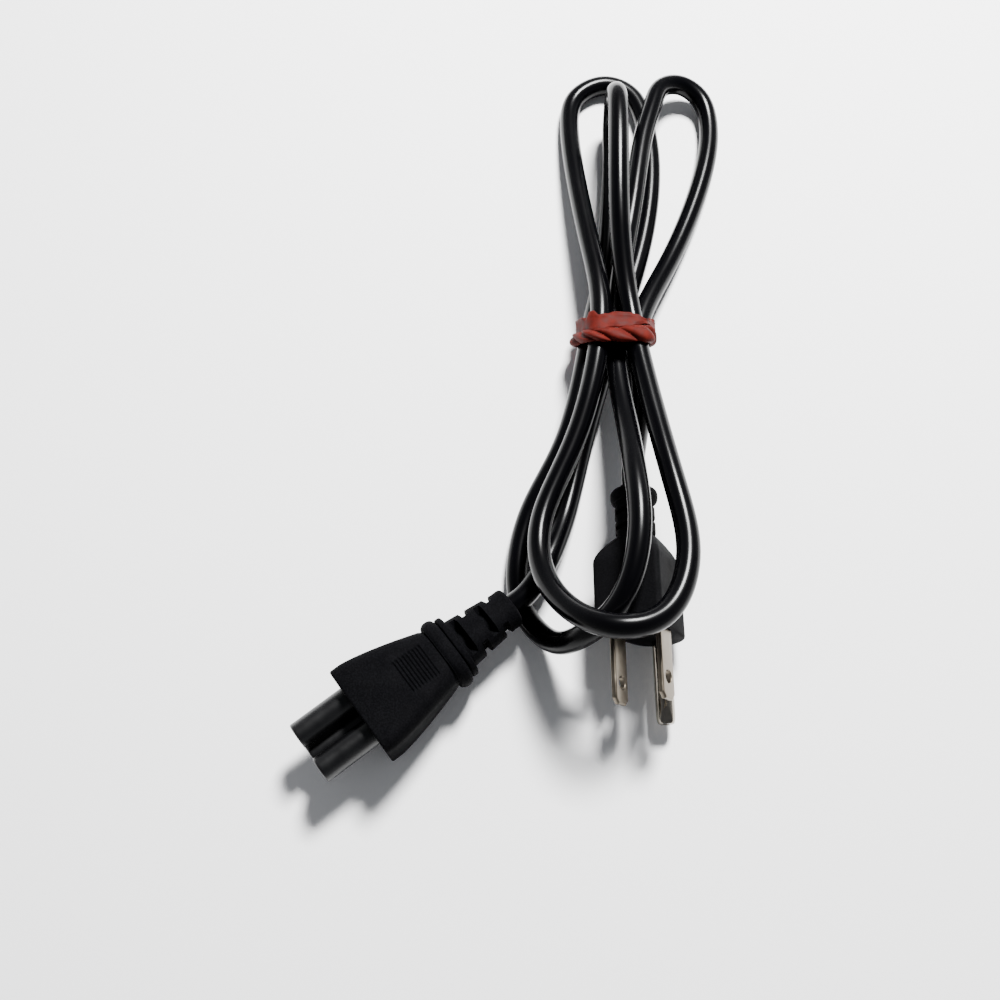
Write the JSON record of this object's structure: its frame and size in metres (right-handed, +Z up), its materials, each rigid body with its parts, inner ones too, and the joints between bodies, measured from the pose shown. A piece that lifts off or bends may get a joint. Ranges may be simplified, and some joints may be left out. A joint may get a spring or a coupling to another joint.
{
  "type": "cloverleaf power cord",
  "caption": "Black mains cord with a cloverleaf appliance connector and a grounded flat-blade plug, folded into a long hank and tied at the middle with a red rubber band.",
  "frame": {"origin": "on the floor, at the middle of the cord's outer box", "axes": "+Z up from the floor, +Y along the hank from the blades towards the upper loops, +X to the right, away from the connector"},
  "size_m": [0.1209, 0.2252, 0.035],
  "materials": {
    "cord_pvc": "satin",
    "moulded_pvc": "fine matt grain",
    "nickel_plate": "satin nickel plate",
    "contact_brass": "dull",
    "red_rubber": "matt"
  },
  "bodies": {
    "root": {"cord": "cord_pvc", "connector_grip": "moulded_pvc", "connector_nose": "moulded_pvc", "contact_live": "contact_brass", "contact_earth": "contact_brass", "contact_neutral": "contact_brass", "plug_body": "moulded_pvc", "blade_live": "nickel_plate", "blade_neutral": "nickel_plate", "ground_pin": "nickel_plate", "rubber_band": "red_rubber"}
  },
  "joints": []
}
